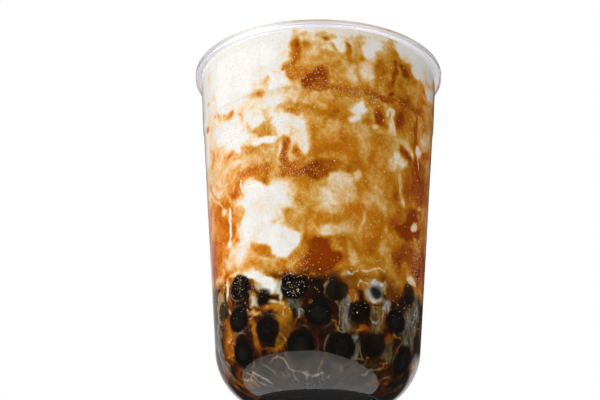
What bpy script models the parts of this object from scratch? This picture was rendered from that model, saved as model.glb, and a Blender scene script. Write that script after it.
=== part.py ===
"""Bubble tea: a clear injection-moulded cup of milk marbled with brown sugar syrup, over tapioca pearls.

Metres, +Z up. The origin is the centre of the foot ring, on the surface that the cup stands on.
The front of the cup faces -Y, and azimuths are degrees round the axis from there towards +X.
"""

import math
import random

import bmesh
import bpy

# The cup: a 90 mm mouth, nearly straight walls and a round bowl on a small foot ring.
CUP_HEIGHT = 0.1220
RIM_RADIUS = 0.0450
RIM_SKIRT_DROP = 0.0024
RIM_SKIRT_WALL = 0.0008
RIM_PLATE = 0.0011
RIM_FILLET = 0.0006
SMALL_FILLET = 0.00025
COLLAR_TOP_RADIUS = 0.0429
COLLAR_FOOT_RADIUS = 0.0415
LEDGE_HEIGHT = 0.0983
LEDGE_STEP = 0.00025
LEDGE_RISE = 0.0005
WALL_TAPER = 0.0787
WALL = 0.00095
BOWL_RADIUS = 0.0206
FOOT_RADIUS = 0.0226
FOOT_WIDTH = 0.0018
RECESS_HEIGHT = 0.0022
RECESS_LEAN = 0.0004
RECESS_FILLET = 0.0005
CUP_SEGMENTS = 64
BOWL_STEPS = 8
WELD = 0.00001
CREASE_ANGLE = math.radians(40)
PLASTIC_COLOUR, PLASTIC_ROUGHNESS, PLASTIC_ALPHA = (0.92, 0.94, 0.95), 0.05, 0.3

# The fill: milk and syrup from the pearl bed up to just under the rim.
CLEARANCE = 0.00035
DRINK_LEVEL = 0.1170
MENISCUS_RISE = 0.00035
MENISCUS_WIDTH = 0.0018
DRINK_SIDE_HEIGHTS = (LEDGE_HEIGHT, 0.080, 0.060)
SURFACE_SHARES = (0.0, 0.17, 0.33, 0.5, 0.67, 0.84)
FILL_SEGMENTS = 60
DRINK_COLOUR, DRINK_ROUGHNESS = (0.74, 0.52, 0.30), 0.25

# The pearl bed: its top dips at the front and rises at both sides of it.
BED_LEVEL = 0.0376
BED_DIP = 0.0014
BED_DIP_LOBES = 4
BED_SWAY = 0.0005
BED_SWAY_LOBES = 3
BED_SWAY_PHASE = 0.8
BED_GAP = 0.0003
PEARL_RADIUS = 0.0045
PEARL_SPREAD = 0.0004
PEARL_RELIEF = 0.0023
PEARL_SPACING = 0.965
PEARL_RING_STEP = 0.0007
PEARL_TURN_STEP = 2.4
PEARL_SEED = 11
BISECTIONS = 40
CORE_STEPS = 6
TAPIOCA_COLOUR, TAPIOCA_ROUGHNESS = (0.022, 0.016, 0.013), 0.2
# Pearls that show at the front: azimuth in degrees, and the height of the centre in metres.
FRONT_PEARLS = [
    (-12.5, 0.0307), (10, 0.0297), (32.5, 0.0304), (58, 0.0331), (-46, 0.0340), (-30, 0.0284), (-62.5, 0.0280),
    (-48.5, 0.0231), (22.5, 0.0233), (47.5, 0.0225), (0.5, 0.0220), (-28, 0.0182), (-47, 0.0135), (-9.5, 0.0135),
    (13.5, 0.0129), (33.5, 0.0145), (59, 0.0128),
]


def clear_scene():
    for leftover in list(bpy.data.objects):
        bpy.data.objects.remove(leftover, do_unlink=True)


def collection_named(name):
    made = bpy.data.collections.new(name)
    bpy.context.scene.collection.children.link(made)
    return made


def material(name, colour, roughness, alpha=1.0):
    made = bpy.data.materials.new(name)
    made.use_nodes = True
    shader = made.node_tree.nodes["Principled BSDF"]
    shader.inputs["Base Color"].default_value = (*colour, 1.0)
    shader.inputs["Roughness"].default_value = roughness
    shader.inputs["Metallic"].default_value = 0.0
    shader.inputs["Alpha"].default_value = alpha
    made.diffuse_color = (*colour, alpha)
    return made


def outer_wall_radius(height):
    """Outside radius of the straight wall below the ledge, which narrows steadily towards the bowl."""
    return COLLAR_FOOT_RADIUS - LEDGE_STEP - WALL_TAPER * (LEDGE_HEIGHT - height)


def bowl_centre():
    """Centre of the bowl's arc, which touches the straight wall and ends at the foot's outer edge."""
    lean = math.atan(WALL_TAPER)
    inset = (outer_wall_radius(0.0) - FOOT_RADIUS) * math.cos(lean)
    along = math.sqrt(2 * BOWL_RADIUS * inset - inset**2)
    touch = along * math.cos(lean) - inset * math.sin(lean)
    return outer_wall_radius(touch) - BOWL_RADIUS * math.cos(lean), touch + BOWL_RADIUS * math.sin(lean)


def bowl_arc(inset, lowest, steps):
    """Points of the bowl's arc, moved in by inset, from the straight wall down to the height lowest."""
    radius, height = bowl_centre()
    reach = BOWL_RADIUS - inset
    first = -math.atan(WALL_TAPER)
    last = math.asin((lowest - height) / reach)
    turns = [first + (last - first) * step / steps for step in range(steps + 1)]
    return [(radius + reach * math.cos(turn), height + reach * math.sin(turn)) for turn in turns]


def rounded(corners, steps=1):
    """Points along straight runs between corners (radius, height, fillet), with an arc for each fillet."""
    points = []
    for index, (x, z, fillet) in enumerate(corners):
        if not fillet:
            points.append((x, z))
            continue
        before, after = corners[index - 1], corners[index + 1]
        back = math.atan2(before[1] - z, before[0] - x)
        on = math.atan2(after[1] - z, after[0] - x)
        turn = math.remainder(on - back, math.tau)
        to_tangent = fillet / math.tan(abs(turn) / 2)
        to_centre = fillet / math.sin(abs(turn) / 2)
        middle = back + turn / 2
        centre = (x + to_centre * math.cos(middle), z + to_centre * math.sin(middle))
        start = (x + to_tangent * math.cos(back), z + to_tangent * math.sin(back))
        first = math.atan2(start[1] - centre[1], start[0] - centre[0])
        sweep = -math.copysign(math.pi - abs(turn), turn)
        for step in range(steps + 1):
            angle = first + sweep * step / steps
            points.append((centre[0] + fillet * math.cos(angle), centre[1] + fillet * math.sin(angle)))
    return points


def turned(name, profile, segments):
    """A solid turned round Z from a profile (radius, height) that runs down its outer side."""
    mesh = bpy.data.meshes.new(name + "_profile")
    mesh.from_pydata([(x, 0.0, z) for x, z in profile], [(i, i + 1) for i in range(len(profile) - 1)], [])
    turning = bpy.data.objects.new(name + "_profile", mesh)
    bpy.context.scene.collection.objects.link(turning)
    screw = turning.modifiers.new("Turn", "SCREW")
    screw.axis = "Z"
    screw.angle = math.tau
    screw.screw_offset = 0.0
    screw.steps = segments
    screw.render_steps = segments
    screw.use_merge_vertices = True
    screw.merge_threshold = WELD
    graph = bpy.context.evaluated_depsgraph_get()
    solid = bpy.data.objects.new(name, bpy.data.meshes.new_from_object(turning.evaluated_get(graph)))
    solid.data.name = name
    bpy.data.objects.remove(turning, do_unlink=True)
    bpy.data.meshes.remove(mesh)
    return solid


def finish(solid, collection, look):
    solid.data.materials.clear()
    solid.data.materials.append(look)
    collection.objects.link(solid)
    solid.data.shade_smooth()
    solid.data.set_sharp_from_angle(angle=CREASE_ANGLE)


def cup_profile():
    """The shell's outline: up the inside from the floor, over the rim and down the outside to the foot."""
    floor = RECESS_HEIGHT + WALL
    foot_inner = FOOT_RADIUS - FOOT_WIDTH
    underside = CUP_HEIGHT - RIM_PLATE
    skirt_inner = RIM_RADIUS - RIM_SKIRT_WALL
    skirt_foot = CUP_HEIGHT - RIM_SKIRT_DROP
    inside = [(0.0, floor)]
    inside += reversed(bowl_arc(WALL, floor, BOWL_STEPS))
    inside += [
        (COLLAR_FOOT_RADIUS - LEDGE_STEP - WALL, LEDGE_HEIGHT),
        (COLLAR_FOOT_RADIUS - WALL, LEDGE_HEIGHT + LEDGE_RISE),
    ]
    rim = rounded([
        (COLLAR_FOOT_RADIUS - WALL, LEDGE_HEIGHT + LEDGE_RISE, 0),
        (COLLAR_TOP_RADIUS - WALL, CUP_HEIGHT, RIM_FILLET),
        (RIM_RADIUS, CUP_HEIGHT, RIM_FILLET),
        (RIM_RADIUS, skirt_foot, SMALL_FILLET),
        (skirt_inner, skirt_foot, SMALL_FILLET),
        (skirt_inner, underside, SMALL_FILLET),
        (COLLAR_TOP_RADIUS, underside, SMALL_FILLET),
        (COLLAR_FOOT_RADIUS, LEDGE_HEIGHT + LEDGE_RISE, 0),
    ])[1:]
    outside = [(COLLAR_FOOT_RADIUS - LEDGE_STEP, LEDGE_HEIGHT)]
    outside += bowl_arc(0.0, 0.0, BOWL_STEPS)
    foot = rounded([
        (FOOT_RADIUS, 0.0, 0),
        (foot_inner, 0.0, SMALL_FILLET),
        (foot_inner - RECESS_LEAN, RECESS_HEIGHT, RECESS_FILLET),
        (0.0, RECESS_HEIGHT, 0),
    ])[1:]
    return inside + rim + outside + foot


def fill_radius(height):
    """Radius that the contents reach at a height on the straight walls, clear of the cup."""
    if height > LEDGE_HEIGHT:
        share = (height - LEDGE_HEIGHT) / (CUP_HEIGHT - LEDGE_HEIGHT)
        outer = COLLAR_FOOT_RADIUS + (COLLAR_TOP_RADIUS - COLLAR_FOOT_RADIUS) * share - LEDGE_STEP
    else:
        outer = outer_wall_radius(height)
    return outer - WALL - CLEARANCE


def bed_lift(x, y):
    """How far the pearl bed's top stands above its mean level: lobes that grow towards the wall."""
    around = math.atan2(x, -y)
    share = min(1.0, math.hypot(x, y) / fill_radius(BED_LEVEL)) ** 2
    sway = BED_SWAY * math.cos(BED_SWAY_LOBES * around + BED_SWAY_PHASE)
    return share * (sway - BED_DIP * math.cos(BED_DIP_LOBES * around))


def waved(solid, level):
    """Gives every point of the solid at this level the pearl bed's waves."""
    for vertex in solid.data.vertices:
        if abs(vertex.co.z - level) < WELD:
            vertex.co.z += bed_lift(vertex.co.x, vertex.co.y)
    return solid


def drink():
    """Milk and syrup: a meniscus round the top edge, straight sides, and a foot that fits the pearl bed."""
    foot = BED_LEVEL + BED_GAP
    edge = fill_radius(DRINK_LEVEL)
    profile = [(0.0, DRINK_LEVEL), (edge - MENISCUS_WIDTH, DRINK_LEVEL), (edge, DRINK_LEVEL + MENISCUS_RISE)]
    profile += [(fill_radius(height), height) for height in (*DRINK_SIDE_HEIGHTS, foot)]
    profile += [(fill_radius(foot) * share, foot) for share in reversed(SURFACE_SHARES)]
    return waved(turned("drink", profile, FILL_SEGMENTS), foot)


def seat(path, radius):
    """Distance from the axis and height of a pearl's centre, after path metres along floor, bowl and wall."""
    centre_radius, centre_height = bowl_centre()
    reach = BOWL_RADIUS - WALL - CLEARANCE - radius
    level = RECESS_HEIGHT + WALL + CLEARANCE + radius
    start = math.asin((level - centre_height) / reach)
    lean = -math.atan(WALL_TAPER)
    floor_length = centre_radius + reach * math.cos(start)
    bowl_length = reach * (lean - start)
    if path < floor_length:
        return path, level
    if path < floor_length + bowl_length:
        angle = start + (path - floor_length) / reach
        return centre_radius + reach * math.cos(angle), centre_height + reach * math.sin(angle)
    rise = path - floor_length - bowl_length
    return (
        centre_radius + reach * math.cos(lean) - rise * math.sin(lean),
        centre_height + reach * math.sin(lean) + rise * math.cos(lean),
    )


def seat_path_at(height):
    """How far along floor, bowl and wall a pearl of the usual size sits with its centre at this height."""
    low, high = FOOT_RADIUS / 2, CUP_HEIGHT
    for _ in range(BISECTIONS):
        middle = (low + high) / 2
        if seat(middle, PEARL_RADIUS)[1] < height:
            low = middle
        else:
            high = middle
    return low


def placed_pearls():
    """Centres and radii of the pearls on floor and wall: the front ones, then all that fit, floor first."""
    draw = random.Random(PEARL_SEED)
    placed = []

    def try_at(azimuth, path, radius):
        out, z = seat(path, radius)
        x, y = out * math.sin(math.radians(azimuth)), -out * math.cos(math.radians(azimuth))
        if z + radius > BED_LEVEL + bed_lift(x, y) - WELD:
            return
        if all(math.dist((x, y, z), other[:3]) > PEARL_SPACING * (radius + other[3]) for other in placed):
            placed.append((x, y, z, radius))

    for azimuth, height in FRONT_PEARLS:
        try_at(azimuth, seat_path_at(height), PEARL_RADIUS)
    for ring in range(int(seat_path_at(BED_LEVEL) / PEARL_RING_STEP)):
        first = draw.uniform(0, 360)
        radius = PEARL_RADIUS + draw.uniform(-PEARL_SPREAD, PEARL_SPREAD)
        for step in range(int(360 / PEARL_TURN_STEP)):
            try_at(first + step * PEARL_TURN_STEP, ring * PEARL_RING_STEP, radius)
    return placed


def pearl_bed(helpers):
    """The heap: a core in from the wall and floor, with the pearls that show fused on by one union."""
    inset = WALL + CLEARANCE + PEARL_RELIEF
    floor = RECESS_HEIGHT + inset
    edge = fill_radius(BED_LEVEL) - PEARL_RELIEF
    profile = [(edge * share, BED_LEVEL) for share in (*SURFACE_SHARES, 1.0)]
    profile += bowl_arc(inset, floor, CORE_STEPS) + [(0.0, floor)]
    core = waved(turned("pearls", profile, FILL_SEGMENTS), BED_LEVEL)
    for x, y, z, radius in placed_pearls():
        mesh = bpy.data.meshes.new("pearl")
        shape = bmesh.new()
        bmesh.ops.create_icosphere(shape, subdivisions=2, radius=radius)
        shape.to_mesh(mesh)
        shape.free()
        pearl = bpy.data.objects.new("pearl", mesh)
        pearl.location = (x, y, z)
        pearl.rotation_euler = (x / radius, y / radius, z / radius)
        helpers.objects.link(pearl)
    bpy.context.scene.collection.objects.link(core)
    union = core.modifiers.new("Pearls", "BOOLEAN")
    union.operation = "UNION"
    union.operand_type = "COLLECTION"
    union.collection = helpers
    union.solver = "MANIFOLD"
    graph = bpy.context.evaluated_depsgraph_get()
    heap = bpy.data.objects.new("pearl_heap", bpy.data.meshes.new_from_object(core.evaluated_get(graph)))
    bpy.data.objects.remove(core, do_unlink=True)
    for helper in list(helpers.objects):
        bpy.data.objects.remove(helper, do_unlink=True)
    bpy.data.collections.remove(helpers)
    heap.name = "pearls"
    return heap


def main():
    clear_scene()
    parts = collection_named("bubble_tea")
    plastic = material("clear_plastic", PLASTIC_COLOUR, PLASTIC_ROUGHNESS, PLASTIC_ALPHA)
    milk = material("milk_and_syrup", DRINK_COLOUR, DRINK_ROUGHNESS)
    tapioca = material("tapioca", TAPIOCA_COLOUR, TAPIOCA_ROUGHNESS)
    finish(turned("cup", cup_profile(), CUP_SEGMENTS), parts, plastic)
    finish(drink(), parts, milk)
    finish(pearl_bed(collection_named("pearl_helpers")), parts, tapioca)


main()
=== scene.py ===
import math
import random

import bmesh
import bpy
import numpy as np
from mathutils import Matrix, Vector


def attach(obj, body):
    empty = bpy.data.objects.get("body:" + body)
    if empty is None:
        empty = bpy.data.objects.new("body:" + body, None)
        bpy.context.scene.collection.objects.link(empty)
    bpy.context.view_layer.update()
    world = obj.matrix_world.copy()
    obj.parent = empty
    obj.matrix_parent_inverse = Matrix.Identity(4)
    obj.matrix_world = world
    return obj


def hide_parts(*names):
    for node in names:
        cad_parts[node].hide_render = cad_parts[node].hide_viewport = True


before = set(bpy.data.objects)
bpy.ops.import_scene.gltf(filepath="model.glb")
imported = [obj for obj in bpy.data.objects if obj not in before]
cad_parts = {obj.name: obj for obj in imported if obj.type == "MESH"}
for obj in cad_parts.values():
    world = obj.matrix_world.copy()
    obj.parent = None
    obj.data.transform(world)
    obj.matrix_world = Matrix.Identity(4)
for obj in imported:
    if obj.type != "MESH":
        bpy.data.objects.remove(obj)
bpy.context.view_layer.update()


# THE CUP. Clear injection-moulded polypropylene, 90 mm across the mouth and 0.95 mm thick, with a nearly
# straight wall, a round bowl, a thin foot ring under it and a flanged rim whose skirt turns down to take
# a lid or film.
CUP_HEIGHT = 0.1220
RIM_RADIUS = 0.0450
COLLAR_TOP, COLLAR_FOOT = 0.0429, 0.0415
LEDGE_HEIGHT, LEDGE_STEP, LEDGE_RISE = 0.0983, 0.00025, 0.0009
TAPER = 0.0787
WALL = 0.00095
BOWL_RADIUS = 0.0206
FOOT_OUTER, FOOT_INNER = 0.0226, 0.0208
RECESS = 0.0022
LEAN = math.atan(TAPER)


def wall_radius(height):
    """Outside radius of the plain wall: a cone below the ledge, and a slightly wider collar that opens
    above it."""
    cone = COLLAR_FOOT - LEDGE_STEP - TAPER * (LEDGE_HEIGHT - height)
    rise = (height - LEDGE_HEIGHT) / (CUP_HEIGHT - LEDGE_HEIGHT)
    collar = COLLAR_FOOT + (COLLAR_TOP - COLLAR_FOOT) * rise
    step = np.clip((height - LEDGE_HEIGHT) / LEDGE_RISE, 0, 1)
    return cone + (collar - cone) * step * step * (3 - 2 * step)


foot_inset = (wall_radius(0.0) - FOOT_OUTER) * math.cos(LEAN)
foot_reach = math.sqrt(2 * BOWL_RADIUS * foot_inset - foot_inset**2)
bowl_touch = foot_reach * math.cos(LEAN) - foot_inset * math.sin(LEAN)
BOWL_R = float(wall_radius(bowl_touch)) - BOWL_RADIUS * math.cos(LEAN)
BOWL_Z = bowl_touch + BOWL_RADIUS * math.sin(LEAN)


def side_profile(inset, top, bottom, spacing):
    """Points (r, z) down the side, moved in from the outside by inset: the wall from the height top to
    the bowl, then the bowl's arc of radius BOWL_RADIUS - inset round (BOWL_R, BOWL_Z) down to the height
    bottom."""
    join = BOWL_Z - (BOWL_RADIUS - inset) * math.sin(LEAN)
    heights = np.linspace(top, join, max(2, int((top - join) / spacing)), endpoint=False)
    last = math.asin((bottom - BOWL_Z) / (BOWL_RADIUS - inset))
    count = max(2, int((BOWL_RADIUS - inset) * (-LEAN - last) / spacing))
    turn = np.linspace(-LEAN, last, count + 1)
    reach = BOWL_RADIUS - inset
    wall = np.stack([wall_radius(heights) - inset / math.cos(LEAN), heights], 1)
    return np.vstack([wall, np.stack([BOWL_R + reach * np.cos(turn), BOWL_Z + reach * np.sin(turn)], 1)])


def fillet(corner, before, after, radius, steps=5):
    """Arc of the given radius that rounds corner between the straight runs to before and after."""
    corner, before, after = (np.array(p, float) for p in (corner, before, after))
    a, b = before - corner, after - corner
    a, b = a / np.linalg.norm(a), b / np.linalg.norm(b)
    half = math.acos(np.clip(a @ b, -1, 1)) / 2
    centre = corner + (a + b) / np.linalg.norm(a + b) * radius / math.sin(half)
    start = corner + a * radius / math.tan(half) - centre
    end = corner + b * radius / math.tan(half) - centre
    share = np.linspace(0, 1, steps + 1)[:, None]
    sweep = math.pi - 2 * half
    return centre + (np.sin((1 - share) * sweep) * start + np.sin(share * sweep) * end) / math.sin(sweep)


def full_turn(count):
    """That many equal angles round the axis, in radians."""
    return np.arange(count) * (2 * math.pi / count)


def revolve(profile, angle):
    """Points (r sin a, -r cos a, z) for each profile point (r, z) and each angle a round the axis, one
    row a point, and the quads between neighbouring rows. The profile runs down the outside, so that the
    faces point outwards."""
    around = len(angle)
    r, z = profile[:, :1], profile[:, 1:]
    points = np.stack([r * np.sin(angle), -r * np.cos(angle), z + 0 * angle], 2).reshape(-1, 3)
    row, column = np.meshgrid(np.arange(len(profile) - 1), np.arange(around), indexing="ij")
    here, beside = row * around + column, row * around + (column + 1) % around
    quads = np.stack([here, here + around, beside + around, beside], 2).reshape(-1, 4)
    return points, quads


def make_piece(name, points, faces, material, crease=40):
    """Mesh object of these points and quads, smooth where faces meet at less than crease degrees. Points
    that coincide, as at a pole on the axis, are merged first, so that the surface closes."""
    mesh = bpy.data.meshes.new(name)
    mesh.from_pydata(points.tolist(), [], faces.tolist())
    closed = bmesh.new()
    closed.from_mesh(mesh)
    bmesh.ops.remove_doubles(closed, verts=closed.verts, dist=1e-7)
    closed.to_mesh(mesh)
    closed.free()
    mesh.shade_smooth()
    mesh.set_sharp_from_angle(angle=math.radians(crease))
    mesh.materials.append(material)
    piece = bpy.data.objects.new(name, mesh)
    bpy.context.scene.collection.objects.link(piece)
    return piece


def linear(hex_colour):
    """Linear RGBA of an sRGB hex colour."""
    parts = [int(hex_colour[i:i + 2], 16) / 255 for i in (1, 3, 5)]
    return (*(p / 12.92 if p <= 0.04045 else ((p + 0.055) / 1.055) ** 2.4 for p in parts), 1.0)


def add(tree, kind, settings=None, inputs=None, stops=None):
    """Adds a node, sets its properties and inputs, linking those given as sockets, and fills a ramp."""
    made = tree.nodes.new(kind)
    for key, value in (settings or {}).items():
        setattr(made, key, value)
    for key, value in (inputs or {}).items():
        if isinstance(value, bpy.types.NodeSocket):
            tree.links.new(value, made.inputs[key])
        else:
            made.inputs[key].default_value = value
    for index, (place, colour) in enumerate(stops or ()):
        if index > 1:
            made.color_ramp.elements.new(place)
        made.color_ramp.elements[index].position = place
        made.color_ramp.elements[index].color = linear(colour)
    return made


def finish_of(name, **inputs):
    """A new material whose Principled shader has these constant inputs, with its tree."""
    material = bpy.data.materials.new(name)
    material.use_nodes = True
    shader = material.node_tree.nodes["Principled BSDF"]
    for key, value in inputs.items():
        shader.inputs[key.replace("_", " ")].default_value = value
    return material, material.node_tree, shader


def let_light_through(tree, shader):
    """Makes the surface clear to shadow and diffuse rays, so that light reaches what lies behind it."""
    path = add(tree, "ShaderNodeLightPath")
    either = {0: path.outputs["Is Shadow Ray"], 1: path.outputs["Is Diffuse Ray"]}
    passing = add(tree, "ShaderNodeMath", {"operation": "MAXIMUM"}, either)
    solid = add(tree, "ShaderNodeMath", {"operation": "SUBTRACT"}, {0: 1.0, 1: passing.outputs[0]})
    tree.links.new(solid.outputs[0], shader.inputs["Alpha"])


# Clear polypropylene: IOR 1.49, the shine of a polished mould, a faint flow ripple, and a paler, hazier
# rim. Light on its way to the drink goes straight through, as nearly all of it does here.
clear_plastic, tree, shader = finish_of(
    "clear_moulded_polypropylene", Base_Color=linear("#F7F9FA"), Roughness=0.02, IOR=1.49,
    Transmission_Weight=1.0
)
let_light_through(tree, shader)
place = add(tree, "ShaderNodeTexCoord")
ripple = add(
    tree, "ShaderNodeTexNoise", None, {"Vector": place.outputs["Object"], "Scale": 1 / 0.012, "Detail": 2.0}
)
bump = add(
    tree, "ShaderNodeBump", None, {"Height": ripple.outputs["Fac"], "Strength": 0.12, "Distance": 0.0004}
)
tree.links.new(bump.outputs["Normal"], shader.inputs["Normal"])
where = add(tree, "ShaderNodeSeparateXYZ", None, {0: place.outputs["Object"]})
at_rim = add(
    tree, "ShaderNodeMapRange", None, {"Value": where.outputs["Z"], "From Min": 0.1192, "From Max": 0.1202}
)
tint = add(
    tree, "ShaderNodeMix", {"data_type": "RGBA"},
    {0: at_rim.outputs[0], 6: linear("#F7F9FA"), 7: linear("#E4E3EA")}
)
tree.links.new(tint.outputs[2], shader.inputs["Base Color"])
haze = add(tree, "ShaderNodeMapRange", None, {"Value": at_rim.outputs[0], "To Min": 0.02, "To Max": 0.3})
tree.links.new(haze.outputs[0], shader.inputs["Roughness"])

inner_foot = float(wall_radius(LEDGE_HEIGHT + LEDGE_RISE)) - WALL
SKIRT_DROP, SKIRT_THICK, FLANGE_THICK = 0.0024, 0.0008, 0.0011
flange = [
    (inner_foot, LEDGE_HEIGHT + LEDGE_RISE), (COLLAR_TOP - WALL, CUP_HEIGHT), (RIM_RADIUS, CUP_HEIGHT),
    (RIM_RADIUS, CUP_HEIGHT - SKIRT_DROP), (RIM_RADIUS - SKIRT_THICK, CUP_HEIGHT - SKIRT_DROP),
    (RIM_RADIUS - SKIRT_THICK, CUP_HEIGHT - FLANGE_THICK), (COLLAR_TOP, CUP_HEIGHT - FLANGE_THICK),
    (COLLAR_FOOT + 0.0002, LEDGE_HEIGHT + 0.003),
]
flange_fillets = [None, 0.0005, 0.0006, 0.00035, 0.00035, 0.00025, 0.0003, None]
foot = [(FOOT_OUTER, 0.0), (FOOT_INNER, 0.0), (FOOT_INNER - 0.0004, RECESS), (0.0, RECESS)]
floor_height = RECESS + WALL
inside = side_profile(WALL, LEDGE_HEIGHT + LEDGE_RISE, floor_height, 0.0012)[::-1]
outside = side_profile(0.0, LEDGE_HEIGHT + 0.003, 0.0, 0.0012)
shell = [np.array([[0.0, floor_height]]), inside]
for at in range(1, 7):
    shell.append(fillet(flange[at], flange[at - 1], flange[at + 1], flange_fillets[at]))
shell += [outside[:-1], fillet(foot[0], tuple(outside[-2]), foot[1], 0.0003)]
shell += [fillet(foot[1], foot[0], foot[2], 0.0004), fillet(foot[2], foot[1], foot[3], 0.0005)]
shell += [np.array([[0.0, RECESS]])]
cup_points, cup_faces = revolve(np.vstack(shell), full_turn(288))
cup = make_piece("cup_shell", cup_points, cup_faces, clear_plastic)
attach(cup, "root")
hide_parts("cup")


# THE TAPIOCA PEARLS. Balls of cooked tapioca starch, 8 to 10 mm across, steeped in brown sugar until
# nearly black. They sink, heap up in the bowl and press flat patches against the clear wall.
CLEARANCE = 0.00035
BED_LEVEL = 0.0376
PEARL_RADIUS = 0.0045
RING_STEP = 0.0007  # between the rings of hidden pearls, along the floor and the wall
INTO_WALL = 0.00006  # how deep pressed pearls reach into the plastic, so that no air gap shows
TOUCHING = 0.965  # share of two radii that neighbours keep apart: soft pearls press into each other
# The pearls at the front: azimuth in degrees, height of the centre in metres, how far the wall flattens
# each in mm (below 0 it stands off the wall), and how clearly it shows through the drink.
FRONT_PEARLS = [
    (-12.5, 0.0307, 1.0, 1.0), (10, 0.0297, 0.1, 0.93), (32.5, 0.0304, -0.8, 0.98),
    (58, 0.0331, 0.2, 0.93), (-46, 0.0340, 0.9, 1.0), (-30, 0.0284, -0.6, 0.99),
    (-62.5, 0.0280, 0.1, 0.9), (-48.5, 0.0231, 1.0, 1.0),
    (22.5, 0.0233, 0.2, 0.97), (47.5, 0.0225, 0.9, 1.0), (0.5, 0.0220, 1.0, 1.0), (-28, 0.0182, 0.6, 0.98),
    (-47, 0.0135, 0.9, 1.0), (-9.5, 0.0135, 0.9, 1.0), (13.5, 0.0129, 1.0, 1.0), (33.5, 0.0145, 0.2, 0.94),
    (59, 0.0128, 0.9, 1.0),
]


def bed_lift(x, y):
    """Rise of the heap's top above its mean level: four lobes and a sway of three, both growing towards
    the wall."""
    around = math.atan2(x, -y)
    share = min(1.0, math.hypot(x, y) / 0.0352) ** 2
    return share * (0.0005 * math.cos(3 * around + 0.8) - 0.0014 * math.cos(4 * around))


def seat(path, radius):
    """Distance from the axis and height of a pearl's centre, path metres along floor, bowl and wall."""
    reach = BOWL_RADIUS - WALL - CLEARANCE - radius
    level = RECESS + WALL + CLEARANCE + radius
    start = math.asin((level - BOWL_Z) / reach)
    floor_run = BOWL_R + reach * math.cos(start)
    bowl_run = reach * (-LEAN - start)
    if path < floor_run:
        return path, level
    if path < floor_run + bowl_run:
        angle = start + (path - floor_run) / reach
        return BOWL_R + reach * math.cos(angle), BOWL_Z + reach * math.sin(angle)
    rise = path - floor_run - bowl_run
    return (BOWL_R + reach * math.cos(LEAN) + rise * math.sin(LEAN),
            BOWL_Z - reach * math.sin(LEAN) + rise * math.cos(LEAN))


def path_at(height):
    """How far along floor, bowl and wall a usual pearl has its centre at this height, by halving."""
    low, high = FOOT_OUTER / 2, CUP_HEIGHT
    for _ in range(40):
        middle = (low + high) / 2
        low, high = (middle, high) if seat(middle, PEARL_RADIUS)[1] < height else (low, middle)
    return low


draw = random.Random(11)
pearls = []


def try_pearl(azimuth, along, radius, press, clear):
    """Keeps a pearl here if it stays under the heap's top and clear of the others."""
    out, z = seat(along, radius)
    x, y = out * math.sin(math.radians(azimuth)), -out * math.cos(math.radians(azimuth))
    if z + radius > BED_LEVEL + bed_lift(x, y) - 0.00001:
        return
    if all(math.dist((x, y, z), other[:3]) > TOUCHING * (radius + other[3]) for other in pearls):
        pearls.append((x, y, z, radius, press, clear))


for azimuth, height, press, clear in FRONT_PEARLS:
    try_pearl(azimuth, path_at(height), PEARL_RADIUS, press, clear)
for ring in range(int(path_at(BED_LEVEL) / RING_STEP)):
    first = draw.uniform(0, 360)
    radius = PEARL_RADIUS + draw.uniform(-0.0004, 0.0004)
    for step in range(150):
        usual = ((ring * 7 + step * 13) % 10) / 10
        azimuth = (first + step * 2.4 + 180) % 360 - 180
        # those behind the ones at the front stand back, so that the drink hides them
        press = -1.5 if abs(azimuth) < 72 else 0.2 + 0.7 * usual
        try_pearl(azimuth, ring * RING_STEP, radius, press, 0.93 + 0.07 * usual)
pearls = np.array(pearls)


def wall_limit(points, inset):
    """How far each point lies inside the cup's side, less inset: negative beyond it. Uses the cone above
    the bowl's tangent, and the arc below it."""
    r, z = np.hypot(points[:, 0], points[:, 1]), points[:, 2]
    beyond_cone = (wall_radius(z) - r) * math.cos(LEAN) - inset
    from_centre = np.hypot(np.maximum(r - BOWL_R, 0), np.minimum(z - BOWL_Z, 0))
    beyond_arc = BOWL_RADIUS - from_centre - inset
    beyond_bowl = np.where(r > BOWL_R, beyond_arc, BOWL_RADIUS + z - BOWL_Z - inset)
    return np.where(z < BOWL_Z, beyond_bowl, beyond_cone)


def inward(points):
    """Unit direction from the cup's side to each point, square to the wall and to the bowl's arc."""
    r = np.maximum(np.hypot(points[:, 0], points[:, 1]), 1e-9)
    across = np.where(points[:, 2] < BOWL_Z, np.maximum(r - BOWL_R, 0), math.cos(LEAN))
    down = np.where(points[:, 2] < BOWL_Z, points[:, 2] - BOWL_Z, -math.sin(LEAN))
    size = np.maximum(np.hypot(across, down), 1e-9)
    across, down = across / size, down / size
    return np.stack([-points[:, 0] / r * across, -points[:, 1] / r * across, -down], 1)


def ball(rings, around):
    """A unit ball: points (sin p cos a, sin p sin a, cos p) on a grid of polar angle p and azimuth a."""
    polar = np.linspace(0, math.pi, rings + 1)
    return revolve(np.stack([np.sin(polar), np.cos(polar)], 1), full_turn(around))


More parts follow.
